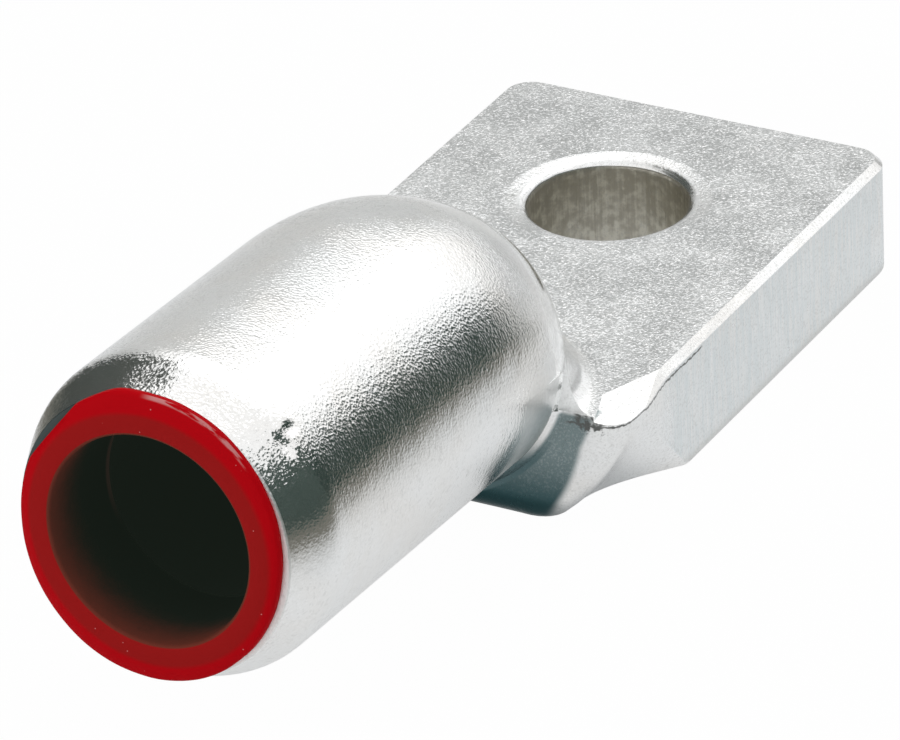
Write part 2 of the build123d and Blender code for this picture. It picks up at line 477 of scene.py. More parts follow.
@dataclass(frozen=True)
class ForgingZones:
    """Where each finish lies on the forging.

    Steps and bands are on the lug's own x, y and z, on the place along the barrel's axis, on
    the distance from that axis or from the bolt hole's, or on a part of the surface's normal.
    """

    bore_radius: Step = Step(9.7, 9.5)
    bore_along: Step = Step(-2.5, -3.0)
    hole_radius: Step = Step(7.18, 6.98)
    hole_z: Step = Step(9.98, 9.85)
    hole_raggedness: float = 0.5
    barrel_along: Step = Step(1.0, -1.5)
    barrel_radius: Step = Step(10.0, 11.5)
    upper_share: Step = Step(0.25, 0.55)
    taper_along: Step = Step(-33.5, -36.5)
    top_normal_z: Step = Step(0.90, 0.98)
    top_z: Band = Band(9.6, 10.5, 0.1)
    flat_normal_z: Step = Step(0.985, 0.998)
    side_normal_y: Step = Step(0.85, 0.95)
    side_x: Step = Step(-26.0, -22.0)
    edge_normal_z: Band = Band(0.40, 0.90, 0.04)
    edge_z: Step = Step(8.0, 8.8)
    heel_along: Band = Band(-0.4, 1.6, 0.2)
    heel_radius: Step = Step(13.25, 13.55)
    heel_z: Step = Step(10.4, 9.9)
    heel_rim_radius: float = 16.1
    heel_rim_spread: float = 0.26
    heel_rim_spread_z: float = 7.5
    heel_rim_inside: Step = Step(-0.25, 0.35)
    heel_foot_z: Step = Step(2.6, 1.5)
    heel_foot_x: Step = Step(-28.5, -30.5)
    heel_foot_y: Step = Step(13.5, 10.5)
    corner_along: Band = Band(-1.0, 0.1, 0.1)
    corner_radius: Band = Band(12.9, 14.0, 0.1)
    corner_z: Step = Step(8.5, 5.0)
    mouth_along: Step = Step(-39.45, -39.6)
    mouth_radius: Step = Step(10.2, 10.5)
    far_axes: tuple[float, float] = (0.87, 0.49)
    far_start: Step = Step(-6.0, -1.5)
    far_rim_radius: Step = Step(8.6, 7.9)
    rim_radius: Step = Step(7.6, 7.2)
    rim_z: Step = Step(9.2, 9.5)
    neck_start_along: Step = Step(-8.0, -4.0)
    neck_end_along: Step = Step(-0.4, -0.9)
    neck_radius: Step = Step(14.6, 14.2)
    neck_z: Step = Step(18.0, 13.0)
    neck_foot_normal_x: Step = Step(-0.50, -0.56)
    neck_foot_normal_z: Band = Band(0.74, 0.86, 0.03)
    neck_foot_z: Step = Step(10.0, 10.3)
    burr_z: float = 9.36
    burr_rise: float = 0.10
    burr_rise_x: Step = Step(-24.5, -27.0)
    burr_raggedness: float = 0.5
    burr_width: Band = Band(-0.07, 0.10, 0.06)
    burr_normal_z: Step = Step(0.75, 0.70)
    burr_x: Band = Band(-32.9, -17.5, 0.3)
    burr_y: Step = Step(12.8, 13.6)
    knot_normal_x: Step = Step(-0.5, -0.8)
    knot_y: Band = Band(13.9, 16.3, 0.3)
    knot_x: Step = Step(-33.2, -32.8)
    knot_z: Step = Step(9.1, 9.5)
    knot_raggedness: float = 3.0
    knot_gaps: Step = Step(-0.10, 0.10)
    knot_least: float = 0.35


class ForgingSurface:
    """The places, patterns and zones that the forging's finish is blended from."""

    def __init__(self, shader: Shader, zones: ForgingZones, grains: ForgingGrains) -> None:
        """Reads the point and its normal, lays the patterns and finds the zones.

        Args:
            shader: the material under construction.
            zones: where each finish lies.
            grains: the patterns.
        """
        self.shader = shader
        self.zones = zones
        self.grains = grains
        self.point = shader.place()
        self.x, self.y, self.z = shader.axes(self.point)
        self.along, self.above, self.radius = AXIS.coordinates(shader)
        self.normal_x, self.normal_y, self.normal_z = shader.axes(shader.normal())
        self.hole_radius = (self.x * self.x + self.y * self.y).math(Rule.ROOT)
        self.lay_grains()
        self.find_barrel()
        self.find_palm()
        self.find_heel()
        self.find_neck()
        # Where the dark line of painted shade along the shear line goes.
        self.shear_line_painted_shade = self.burr_line().math(Rule.LARGER, self.burr_knot())

    def grain(self, grain: Grain) -> Number:
        """One pattern laid over the forging."""
        return grain.at(self.shader, self.point)

    def lay_grains(self) -> None:
        """Lays the patterns that more than one part of the finish reads."""
        self.ragged = self.grain(self.grains.ragged) - 0.5
        self.drag = self.grain(self.grains.drag)
        self.wide = self.grain(self.grains.wide)
        self.cloud = self.grain(self.grains.cloud)
        self.leather = self.grain(self.grains.leather)
        self.fine = self.grain(self.grains.fine)
        self.brushed = self.grain(self.grains.brushed)
        self.sparks = self.grains.spark_cut.on(self.grain(self.grains.sparks))

    def find_barrel(self) -> None:
        """Finds the barrel's skin, its upper side, its taper, its bore and its mouth's face."""
        zones = self.zones
        self.in_bore = zones.bore_radius.on(self.radius) * zones.bore_along.on(self.along)
        self.on_barrel = zones.barrel_along.on(self.along) * zones.barrel_radius.on(self.radius)
        self.upper = zones.upper_share.on(self.above / self.radius)
        self.on_taper = zones.taper_along.on(self.along)
        self.on_mouth = zones.mouth_along.on(self.along) * zones.mouth_radius.on(self.radius)

    def find_palm(self) -> None:
        """Finds the palm's top, sides and worn edges, and the bolt hole's wall and rim."""
        zones = self.zones
        hole_edge = self.hole_radius + self.ragged * zones.hole_raggedness
        self.in_hole = zones.hole_radius.on(hole_edge) * zones.hole_z.on(self.z)
        self.on_top = zones.top_normal_z.on(self.normal_z) * zones.top_z.on(self.z)
        self.on_side = zones.side_normal_y.on(abs(self.normal_y)) * zones.side_x.on(self.x)
        on_edge = zones.edge_normal_z.on(self.normal_z) * zones.edge_z.on(self.z)
        self.on_edge = on_edge * (1.0 - self.on_barrel)
        far_x, far_y = zones.far_axes
        self.far_side = zones.far_start.on(far_x * self.x + far_y * self.y)
        far_rim = self.far_side * zones.far_rim_radius.on(self.hole_radius)
        level = zones.flat_normal_z.on(self.normal_z)
        self.flat_top = level * self.on_top * (1.0 - far_rim)
        self.on_rim = zones.rim_radius.on(self.hole_radius) * zones.rim_z.on(self.z)

    def find_heel(self) -> None:
        """Finds the heel's round face, its foot and the corner that it makes with the barrel."""
        zones = self.zones
        on_face = zones.heel_along.on(self.along) * zones.heel_radius.on(self.radius)
        below = (zones.heel_rim_spread_z - self.z).math(Rule.LARGER, 0.0)
        rim = zones.heel_rim_radius + zones.heel_rim_spread * below
        inside = zones.heel_rim_inside.on(rim - self.radius)
        self.on_heel = on_face * zones.heel_z.on(self.z) * inside
        # Where painted shade goes at the heel's foot, next to the floor.
        foot = zones.heel_foot_z.on(self.z) * zones.heel_foot_x.on(self.x)
        self.foot_painted_shade = foot * zones.heel_foot_y.on(abs(self.y))
        # Where painted shade goes in the heel's corner with the barrel.
        corner = zones.corner_along.on(self.along) * zones.corner_radius.on(self.radius)
        self.in_corner = corner * zones.corner_z.on(self.z)

    def find_neck(self) -> None:
        """Finds the softer skin at the barrel's end and at the neck's foot."""
        zones = self.zones
        end = zones.neck_start_along.on(self.along) * zones.neck_end_along.on(self.along)
        end = end * zones.neck_radius.on(self.radius) * zones.neck_z.on(self.z)
        foot = zones.neck_foot_normal_x.on(self.normal_x)
        foot = foot * zones.neck_foot_normal_z.on(self.normal_z) * zones.neck_foot_z.on(self.z)
        self.near_neck = end + foot

    def burr_line(self) -> Number:
        """The thin shear line under the palm's top edge, where a dark line of painted shade goes.

        Returns:
            1 on the line and 0 off it.
        """
        zones = self.zones
        low = zones.burr_z + zones.burr_rise * zones.burr_rise_x.on(self.x)
        across = self.z - low + self.ragged * zones.burr_raggedness
        line = zones.burr_width.on(across) * zones.burr_normal_z.on(self.normal_z)
        return zones.burr_x.on(self.x) * zones.burr_y.on(abs(self.y)) * line

    def burr_knot(self) -> Number:
        """The torn knot where the line meets the heel's face, painted dark as shade like the line.

        Returns:
            1 on the knot and 0 off it.
        """
        zones = self.zones
        place = zones.knot_normal_x.on(self.normal_x) * zones.knot_y.on(abs(self.y))
        place = place * zones.knot_x.on(self.x)
        ragged_z = self.z + self.ragged * zones.knot_raggedness
        gaps = zones.knot_gaps.on(self.ragged).between(zones.knot_least, 1.0)
        return place * zones.knot_z.on(ragged_z) * gaps


@dataclass(frozen=True)
class ForgingRelief:
    """How high each pattern stands, how much of it each zone shows, and how the facets lean."""

    leather: float = 0.022
    cell: float = 0.026
    lower_share: float = 0.35
    taper_share: float = 0.75
    wrinkle: float = 0.026
    upper_wrinkle_share: float = 0.2
    palm_leather: float = 0.0198
    palm_cell: float = 0.0156
    palm_share: float = 0.4
    top_share: float = 0.7
    spark: float = 0.012
    sparkle: float = 0.010
    top_sparkle_share: float = 2.2
    edge_share: float = 0.2
    wave: float = 0.12
    side_share: float = 0.4
    hole_share: float = 0.2
    side_brushing: float = 0.014
    hole_drag: float = 0.030
    bore_share: float = 0.2
    wear_radius: float = 8.75
    wear_raggedness: float = 0.6
    wear_width: float = 1.7
    wear_slope: float = 0.20
    top_tilt: float = 0.15
    hole_tilt: float = 0.08
    barrel_tilt: float = 0.04
    taper_tilt: float = 0.14
    dents: tuple[Dent, ...] = (
        Dent((-68.4, -9.5, 24.9), (0.5, 0.9, 0.9), 0.20),
        Dent((-67.2, -9.3, 25.6), (0.7, 0.5, 0.5), 0.18),
        Dent((-69.4, 1.0, 28.6), (1.2, 1.6, 1.5), 0.12),
    )

    def skin(self, at: ForgingSurface) -> Number:
        """The plating's own texture, on the barrel and on the palm.

        Args:
            at: the surface.

        Returns:
            Its height, in millimetres.
        """
        cells = at.grains.cells.distance(at.shader, at.point)
        wrinkles = at.grain(at.grains.wrinkles)
        barrel = at.leather * self.leather + cells * self.cell
        barrel = barrel * at.upper.between(self.lower_share, 1.0)
        barrel = barrel * at.on_taper.between(1.0, self.taper_share)
        wrinkled = wrinkles * self.wrinkle * at.upper.between(1.0, self.upper_wrinkle_share)
        palm = at.leather * self.palm_leather + cells * self.palm_cell
        palm = palm * at.on_top.between(self.palm_share, self.top_share)
        palm = palm + at.sparks * (self.spark * at.on_top)
        skin = at.on_barrel * (barrel + wrinkled) + (1.0 - at.on_barrel) * palm
        skin = skin + at.fine * self.sparkle * at.on_top.between(1.0, self.top_sparkle_share)
        return skin * at.on_edge.between(1.0, self.edge_share)

    def rim_wear(self, at: ForgingSurface) -> Number:
        """How far the bolt hole's far rim is worn down.

        Args:
            at: the surface.

        Returns:
            The wear's depth, in millimetres.
        """
        inside = self.wear_radius - at.hole_radius - at.cloud * self.wear_raggedness
        worn = inside.math(Rule.LARGER, 0.0).math(Rule.SMALLER, self.wear_width)
        return worn * self.wear_slope * at.far_side

    def height(self, at: ForgingSurface) -> Number:
        """How far the surface is raised, in millimetres.

        Args:
            at: the surface.

        Returns:
            The height of all its patterns, wear and dents.
        """
        height = self.skin(at) + at.wide * self.wave * (1.0 - at.on_top)
        height = height * at.on_side.between(1.0, self.side_share)
        height = height * at.in_hole.between(1.0, self.hole_share)
        height = height + at.brushed * (self.side_brushing * at.on_side)
        height = height + at.drag * (self.hole_drag * at.in_hole)
        height = height - self.rim_wear(at)
        for dent in self.dents:
            height = height + dent.height(at.shader, at.point)
        return height * at.in_bore.between(1.0, self.bore_share)

    def normal(self, at: ForgingSurface) -> bpy.types.NodeSocket:
        """The normal of the faceted and raised surface.

        Args:
            at: the surface.

        Returns:
            The normal's socket.
        """
        tilt = at.flat_top * self.top_tilt + at.in_hole * self.hole_tilt
        barrel_tilt = at.on_taper.between(self.barrel_tilt, self.taper_tilt)
        tilt = tilt + at.upper * at.on_barrel * barrel_tilt
        facets = at.grains.facets.tilted(at.shader, at.point, tilt)
        return at.shader.bumped(self.height(at), facets)


@dataclass(frozen=True)
class ForgingColours:
    """The colours of the plating, its stains and the bore's grease, with painted shade, painted
    glints and a painted glow.
    """

    plating: Colour = (0.91, 0.92, 0.92)
    warm_plating: Colour = (0.88, 0.87, 0.85)
    # White specks painted as glints, strongest on the palm's top.
    painted_glint_colour: Colour = WHITE
    pit: Colour = (0.50, 0.50, 0.485)
    dull_top: Colour = (0.62, 0.63, 0.63)
    top: Colour = (0.78, 0.79, 0.79)
    side: Colour = (0.78, 0.82, 0.83)
    side_foot: Colour = (0.66, 0.66, 0.64)
    grease: Colour = (0.010, 0.012, 0.010)
    # A painted glow down the bore, which is no lamp.
    bore_painted_glow: Colour = (0.0070, 0.0100, 0.0072)
    hole_wall: Colour = (0.78, 0.76, 0.68)
    hole_stain: Colour = (0.52, 0.495, 0.43)
    # Painted shade on the barrel mouth's face, in the gap beside the collar's flange.
    mouth_painted_shade: Colour = (0.10, 0.13, 0.13)
    # Painted shade: a dark line along the shear line and its torn knot.
    shear_line_painted_shade: Colour = (0.13, 0.135, 0.13)
    # Painted shade on the heel's face, darker towards the bottom, for the shadowed floor that it
    # reflects.
    heel_painted_shade_high: Colour = (0.22, 0.28, 0.285)
    heel_painted_shade_low: Colour = (0.030, 0.080, 0.088)
    # Painted shade at the heel's foot, next to the floor.
    foot_painted_shade: Colour = (0.022, 0.055, 0.060)
    # Painted shade in the heel's corner with the barrel.
    corner: Colour = (0.10, 0.16, 0.17)
    warmth: Step = Step(0.35, 0.7)
    pitting: Step = Step(0.50, 0.34)
    pitted_clouds: Step = Step(0.25, 0.65)
    pitted_share: float = 0.20
    top_pitted_share: float = 0.50
    painted_glint_spread: float = 0.3
    top_drift: Step = Step(0.35, 0.65)
    side_streaks: Step = Step(0.35, 0.65)
    side_least: float = 0.25
    side_foot_z: Step = Step(1.6, 0.2)
    stain_drag: float = 0.4
    stain_blotch: float = 0.6
    stain_rise: float = 0.012
    stain: Step = Step(0.45, 0.66)
    heel_shade_z: Step = Step(1.0, 7.5)
    sand: Step = Step(0.50, 0.30)
    sand_share: float = 0.30
    flecks: Step = Step(0.48, 0.68)
    fleck_share: float = 0.12
    fleck_z: Step = Step(1.0, 6.5)
    mouth_face_y: Step = Step(0.0, 4.0)

    def skin(self, at: ForgingSurface) -> bpy.types.NodeSocket:
        """The plating's colour, pitted, with white specks painted as glints, a duller top and
        streaked sides.

        Args:
            at: the surface.

        Returns:
            The colour's socket.
        """
        blend = at.shader.blend
        colour = blend(self.warmth.on(at.wide), self.plating, self.warm_plating)
        spread = at.on_top.between(self.pitted_share, self.top_pitted_share)
        pitted = self.pitting.on(at.leather) * spread * self.pitted_clouds.on(at.cloud)
        colour = blend(pitted, colour, self.pit)
        # White specks painted as glints over the plating's colour.
        painted_glint_mask = at.sparks * at.on_top.between(self.painted_glint_spread, 1.0)
        colour = blend(painted_glint_mask, colour, self.painted_glint_colour)
        drift = self.top_drift.on(at.grain(at.grains.drift))
        top = blend(drift, self.dull_top, self.top)
        colour = blend(at.flat_top * (1.0 - painted_glint_mask), colour, top)
        streaks = self.side_streaks.on(at.brushed).between(self.side_least, 1.0)
        colour = blend(at.on_side * streaks, colour, self.side)
        return blend(at.on_side * self.side_foot_z.on(at.z), colour, self.side_foot)

    def hole(self, at: ForgingSurface) -> bpy.types.NodeSocket:
        """The colour of the bolt hole's stained wall.

        Args:
            at: the surface.

        Returns:
            The colour's socket.
        """
        blotch = at.grain(at.grains.blotch)
        marks = self.stain_drag * at.drag + self.stain_blotch * blotch + self.stain_rise * at.z
        return at.shader.blend(self.stain.on(marks), self.hole_wall, self.hole_stain)

    def heel(self, at: ForgingSurface, colour: bpy.types.NodeSocket) -> bpy.types.NodeSocket:
        """Lays painted shade over a colour on the heel's face, foot and corner, with sand and
        flecks round it.

        Args:
            at: the surface.
            colour: what it has so far.

        Returns:
            The new colour's socket.
        """
        blend = at.shader.blend
        # Painted shade on the heel's face, darker towards the bottom.
        face = blend(self.heel_shade_z.on(at.z), self.heel_painted_shade_low, self.heel_painted_shade_high)
        colour = blend(at.on_heel, colour, face)
        sand = self.sand.on(at.fine) * self.sand_share * (1.0 - at.on_barrel)
        sand = sand * (1.0 - at.on_top) * (1.0 - at.on_heel)
        colour = blend(sand, colour, self.pit)
        flecks = self.flecks.on(at.fine) * self.fleck_share * at.on_heel
        colour = blend(flecks * self.fleck_z.on(at.z), colour, self.plating)
        # Painted shade at the heel's foot.
        colour = blend(at.foot_painted_shade, colour, self.foot_painted_shade)
        # Painted shade in the heel's corner with the barrel.
        return blend(at.in_corner, colour, self.corner)

    def colour(self, at: ForgingSurface) -> bpy.types.NodeSocket:
        """The whole surface's colour.

        Args:
            at: the surface.

        Returns:
            The colour's socket.
        """
        blend = at.shader.blend
        colour = blend(at.in_hole, self.skin(at), self.hole(at))
        # Painted shade along the shear line and its knot.
        colour = blend(at.shear_line_painted_shade, self.heel(at, colour), self.shear_line_painted_shade)
        # Painted shade on the mouth's face beside the collar, on the positive-y side only.
        colour = blend(at.on_mouth * self.mouth_face_y.on(at.y), colour, self.mouth_painted_shade)
        return blend(at.in_bore, colour, self.grease)

    def glow(self, at: ForgingSurface) -> bpy.types.NodeSocket:
        """The faint painted glow down the bore, which is no lamp."""
        return at.shader.blend(at.in_bore, BLACK, self.bore_painted_glow)


@dataclass(frozen=True)
class ForgingGloss:
    """The barrel's and the palm's roughness, and what each zone adds to it."""

    barrel: float = 0.11
    palm: float = 0.16
    cloud: float = 0.08
    hole: float = 0.2
    side: float = 0.14
    bore: float = 0.3
    heel: float = 0.12
    mouth: float = 0.4
    rim: float = 0.1
    neck: float = 0.25

    def roughness(self, at: ForgingSurface) -> Number:
        """The whole surface's roughness.

        Args:
            at: the surface.

        Returns:
            The roughness, from 0 to 1.
        """
        roughness = at.on_top.between(self.barrel, self.palm) + at.cloud * self.cloud
        roughness = roughness + at.in_hole * self.hole + at.on_side * self.side
        roughness = roughness + at.in_bore * self.bore + at.on_heel * self.heel
        roughness = roughness + at.on_mouth * self.mouth + at.on_rim * self.rim
        return roughness + at.near_neck * self.neck


@dataclass(frozen=True)
class TinnedForging:
    """Bright tin plating over a forged surface, with contact grease down the bore."""

    zones: ForgingZones = ForgingZones()
    grains: ForgingGrains = ForgingGrains()
    relief: ForgingRelief = ForgingRelief()
    colours: ForgingColours = ForgingColours()
    gloss: ForgingGloss = ForgingGloss()
    specular: float = 0.12

    def material(self) -> bpy.types.Material:
        """Builds the plating's material.

        Returns:
            The material.
        """
        shader = Shader.named("tinned_forging")
        at = ForgingSurface(shader, self.zones, self.grains)
        return shader.principled(
            {
                "Base Color": self.colours.colour(at),
                "Metallic": 1.0 - at.in_bore,
                "Roughness": self.gloss.roughness(at),
                "Specular IOR Level": self.specular,
                "Emission Color": self.colours.glow(at),
                "Emission Strength": 1.0,
                "Normal": self.relief.normal(at),
            }
        )


@dataclass(frozen=True)
class MouldedRed:
    """Red moulded plastic, lit and shaded in paint, with scuffs and a painted highlight on its rim,
    and grease, painted shade and glow inside.
    """

    # One red painted lighter on the outer bevel and darker on the flat face, as light and shade.
    painted_lit_red: Colour = (0.60, 0.002, 0.007)
    painted_shaded_red: Colour = (0.42, 0.012, 0.012)
    # Pink for real scuffs and nicks, and for a painted highlight along the rim's upper edge.
    scuff_and_highlight_colour: Colour = (0.75, 0.28, 0.28)
    # The sleeve's inside, a darker red as painted shade.
    painted_shade_lining: Colour = (0.20, 0.030, 0.018)
    # Grease and painted shade, darker deeper down the sleeve.
    grease_and_painted_shade: Colour = (0.010, 0.012, 0.010)
    # A painted glow inside the sleeve, which is no lamp, a little brighter along the sleeve's end.
    sleeve_painted_glow: Colour = (0.0070, 0.0100, 0.0072)
    end_line_painted_glow: Colour = (0.0180, 0.0145, 0.0110)
    mottle: Grain = Grain(0.7, 3.0)
    fine: Grain = Grain(4.0)
    nicks: Cells = Cells(0.9)
    streaks: Grain = Grain(1.0, 3.0, (0.5, 3.0, 1.0))
    streak_radius: float = 11.0
    inside_radius: Step = Step(8.66, 8.56)
    front: float = -40.7
    grease_shade_depth: Step = Step(0.4, 6.0)
    grease_shade_raggedness: float = 1.6
    red_radius: Step = Step(10.4, 9.9)
    rim_along: Band = Band(-40.34, -40.08, 0.04)
    rim_above: Step = Step(7.2, 8.2)
    rim_y: Step = Step(0.6, -0.6)
    scuffing: Step = Step(0.40, 0.52)
    nick_size: Step = Step(0.06, 0.03)
    end_along: Band = Band(-32.4, -31.8, 0.1)
    end_y: Step = Step(4.5, 7.0)
    end_above: Step = Step(-4.5, 0.0)
    mottle_height: float = 0.05
    fine_height: float = 0.006
    roughness: float = 0.5
    mottle_roughness: float = 0.12
    scuff_roughness: float = 0.2
    specular: float = 0.03

    def material(self) -> bpy.types.Material:
        """Builds the plastic's material.

        Returns:
            The material.
        """
        shader = Shader.named("moulded_red")
        point = shader.place()
        y = shader.axes(point)[1]
        along, above, radius = AXIS.coordinates(shader)
        mottle = self.mottle.at(shader, point)
        inside = self.inside_radius.on(radius)

        # Painted light and shade: the bevel lighter, the flat face darker.
        colour = shader.blend(self.red_radius.on(radius), self.painted_lit_red, self.painted_shaded_red)
        round_rim = y.math(Rule.TURN, above) * self.streak_radius
        streaks = self.streaks.at(shader, shader.joined(round_rim, radius, along))
        # The rim's upper edge on the negative-y side, where a highlight is painted among the
        # scuffs.
        rim = self.rim_along.on(along) * self.rim_above.on(above) * self.rim_y.on(y)
        scuffs_and_painted_highlight = rim * self.scuffing.on(streaks)
        colour = shader.blend(scuffs_and_painted_highlight, colour, self.scuff_and_highlight_colour)
        nicked = self.nick_size.on(self.nicks.distance(shader, point)) * (1.0 - inside)
        colour = shader.blend(nicked, colour, self.scuff_and_highlight_colour)
        # Painted shade: the sleeve's inside a darker red.
        colour = shader.blend(inside, colour, self.painted_shade_lining)
        # Grease and painted shade, darkening deeper down the sleeve.
        depth = along - self.front + mottle * self.grease_shade_raggedness
        colour = shader.blend(inside * self.grease_shade_depth.on(depth), colour, self.grease_and_painted_shade)

        # A painted glow inside, brighter along the line at the sleeve's end.
        end_line = self.end_along.on(along) * self.end_y.on(y) * self.end_above.on(above)
        sleeve_painted_glow = shader.blend(end_line, self.sleeve_painted_glow, self.end_line_painted_glow)
        height = mottle * self.mottle_height + self.fine.at(shader, point) * self.fine_height
        roughness = self.roughness + mottle * self.mottle_roughness
        return shader.principled(
            {
                "Base Color": colour,
                "Metallic": 0.0,
                "Roughness": roughness + scuffs_and_painted_highlight * self.scuff_roughness,
                "Specular IOR Level": self.specular,
                "Emission Color": shader.blend(inside, BLACK, sleeve_painted_glow),
                "Emission Strength": 1.0,
                "Normal": shader.bumped(height),
            }
        )


def linked(name: str, mesh: bpy.types.Mesh, material: bpy.types.Material) -> bpy.types.Object:
    """A new object at the origin with that mesh and material.

    Args:
        name: the piece's name.
        mesh: its mesh, in place.
        material: its finish.

    Returns:
        The object, linked to the scene.
    """
    mesh.materials.clear()
    mesh.materials.append(material)
    made = bpy.data.objects.new(name, mesh)
    bpy.context.scene.collection.objects.link(made)
    return made


def to_mesh(name: str, shape: bmesh.types.BMesh) -> bpy.types.Mesh:
    """Writes a bmesh to a new mesh with smooth faces and frees it.

    Args:
        name: the mesh's name.
        shape: the bmesh.

    Returns:
        The mesh.
    """
    for face in shape.faces:
        face.smooth = True
    mesh = bpy.data.meshes.new(name)
    shape.to_mesh(mesh)
    shape.free()
    return mesh


def outline(
    shape: bmesh.types.BMesh, corners: tuple[Triple, ...], closed: bool
) -> list[bmesh.types.BMVert | bmesh.types.BMEdge]:
    """Draws a section of straight edges, which is to be spun.

    Args:
        shape: the bmesh that it is drawn in.
        corners: its corners in order.
        closed: whether the last corner joins the first.

    Returns:
        Its vertices and edges.
    """
    verts = [shape.verts.new(corner) for corner in corners]
    nexts = verts[1:] + verts[:1] if closed else verts[1:]
    return verts + [shape.edges.new(pair) for pair in zip(verts, nexts)]


@dataclass(frozen=True)
class LugForging:
    """The one-piece forging. Its CAD shape is right, so its node stays and only gets its finish."""

    finish: TinnedForging = TinnedForging()

    def dress(self, node: bpy.types.Object) -> bpy.types.Object:
        """Plates the forging's CAD node.

        Args:
            node: the node, whose mesh is left alone.

        Returns:
            The node.
        """
        plated = self.finish.material()
        for slot in node.material_slots:
            slot.material = plated
        return node


@dataclass(frozen=True)
class MouthCollar:
    """The red ring on the barrel's mouth, with the sleeve that reaches into the bore.

    The flange's rim isn't quite round: it bulges beside its flat, is a little oval, leans to
    one side and is uneven, as moulded plastic is. Edges count as level or as on a rim when
    they are close to it.
    """

    finish: MouldedRed = MouldedRed()
    face_x: float = -40.7
    seat_x: float = -39.7
    sleeve_end_x: float = -31.9
    inner_radius: float = 8.4
    sleeve_radius: float = 9.4
    flange_radius: float = 11.3
    bevel_width: float = 1.2
    bevel_depth: float = 0.4
    edge_radius: float = 0.3
    edge_segments: int = 3
    flat_radius: float = 10.8
    flat_degrees: float = 50.0
    bulge: float = 0.25
    bulge_degrees: float = 12.0
    bulge_width_degrees: float = 9.0
    oval: float = 0.38
    oval_degrees: float = 165.0
    lean: float = 0.15
    unevenness: float = 0.05
    unevenness_per_mm: float = 0.35
    steps: int = 240
    close: float = 0.01
    well_off: float = 0.1
    merge_metres: float = 1e-7

    def build(self) -> bpy.types.Object:
        """Turns the ring, rounds its rims, cuts its flat and makes it uneven.

        Returns:
            The finished piece.
        """
        ring = self.turned_ring()
        self.round_rims(ring)
        self.cut_flat(ring)
        self.press_bulge(ring)
        bmesh.ops.transform(ring, matrix=AXIS.matrix(), verts=ring.verts)
        mesh = to_mesh("collar_moulding", ring)
        piece = linked("collar_moulding", mesh, self.finish.material())
        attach(piece, "root")
        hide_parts("mouth_collar")
        return piece

    def turned_ring(self) -> bmesh.types.BMesh:
        """The ring's section, spun about the barrel's axis.

        Returns:
            The closed ring.
        """
        corners = (
            (self.face_x, self.inner_radius),
            (self.face_x, self.flange_radius - self.bevel_width),
            (self.face_x + self.bevel_depth, self.flange_radius),
            (self.seat_x, self.flange_radius),
            (self.seat_x, self.sleeve_radius),
            (self.sleeve_end_x, self.sleeve_radius),
            (self.sleeve_end_x, self.inner_radius),
        )
        ring = bmesh.new()
        section = outline(ring, tuple((x * MM, 0.0, r * MM) for x, r in corners), closed=True)
        bmesh.ops.spin(
            ring,
            geom=section,
            cent=(0, 0, 0),
            axis=(1, 0, 0),
            angle=2 * math.pi,
            steps=self.steps,
            use_merge=True,
        )
        bmesh.ops.remove_doubles(ring, verts=ring.verts, dist=self.merge_metres)
        bmesh.ops.recalc_face_normals(ring, faces=ring.faces)
        return ring

    def on_rim(self, edge: bmesh.types.BMEdge) -> bool:
        """True for an edge that runs round the front's inner or outer rim.

        Args:
            edge: one of the ring's edges.

        Returns:
            Whether it is to be rounded.
        """
        ends = [(v.co.x / MM, math.hypot(v.co.y, v.co.z) / MM) for v in edge.verts]
        level = abs(ends[0][0] - ends[1][0]) < self.close
        front = self.face_x + self.close
        inner = all(r < self.inner_radius + self.close and x < front for x, r in ends)
        flange_front = self.seat_x - self.well_off
        outer = all(r > self.flange_radius - self.close and x < flange_front for x, r in ends)
        return level and (inner or outer)

    def round_rims(self, ring: bmesh.types.BMesh) -> None:
        """Rounds the rims at the ring's front.

        Args:
            ring: the ring, in the barrel's own frame.
        """
        bmesh.ops.bevel(
            ring,
            geom=[edge for edge in ring.edges if self.on_rim(edge)],
            offset=self.edge_radius * MM,
            segments=self.edge_segments,
            profile=0.5,
            affect="EDGES",
            material=-1,
        )

    def cut_flat(self, ring: bmesh.types.BMesh) -> None:
        """Slices the flat off the flange and closes the cut.

        Args:
            ring: the ring, in the barrel's own frame.
        """
        turn = math.radians(self.flat_degrees)
        outwards = Vector((0, math.sin(turn), math.cos(turn)))
        cut = bmesh.ops.bisect_plane(
            ring,
            geom=ring.verts[:] + ring.edges[:] + ring.faces[:],
            plane_co=outwards * self.flat_radius * MM,
            plane_no=outwards,
            clear_outer=True,
        )
        border = [item for item in cut["geom_cut"] if isinstance(item, bmesh.types.BMEdge)]
        bmesh.ops.holes_fill(ring, edges=border, sides=0)

    def press_bulge(self, ring: bmesh.types.BMesh) -> None:
        """Swells the flange's rim beside the flat, and makes the moulding a little uneven.

        Args:
            ring: the ring, in the barrel's own frame.
        """
        for vert in ring.verts:
            radius = math.hypot(vert.co.y, vert.co.z) / MM
            if radius < self.sleeve_radius + self.well_off:
                continue
            turn = math.degrees(math.atan2(vert.co.y, vert.co.z))
            rim = (radius - self.sleeve_radius) / (self.flange_radius - self.sleeve_radius)
            from_bulge = (turn - self.bulge_degrees) / self.bulge_width_degrees
            swell = self.bulge * math.exp(-(from_bulge**2))
            swell += self.oval * math.cos(2 * math.radians(turn - self.oval_degrees))
            swell += self.lean * math.sin(math.radians(turn))
            swell += self.unevenness * noise.noise(vert.co / MM * self.unevenness_per_mm)
            grow = 1 + swell * rim / radius
            vert.co.y *= grow
            vert.co.z *= grow


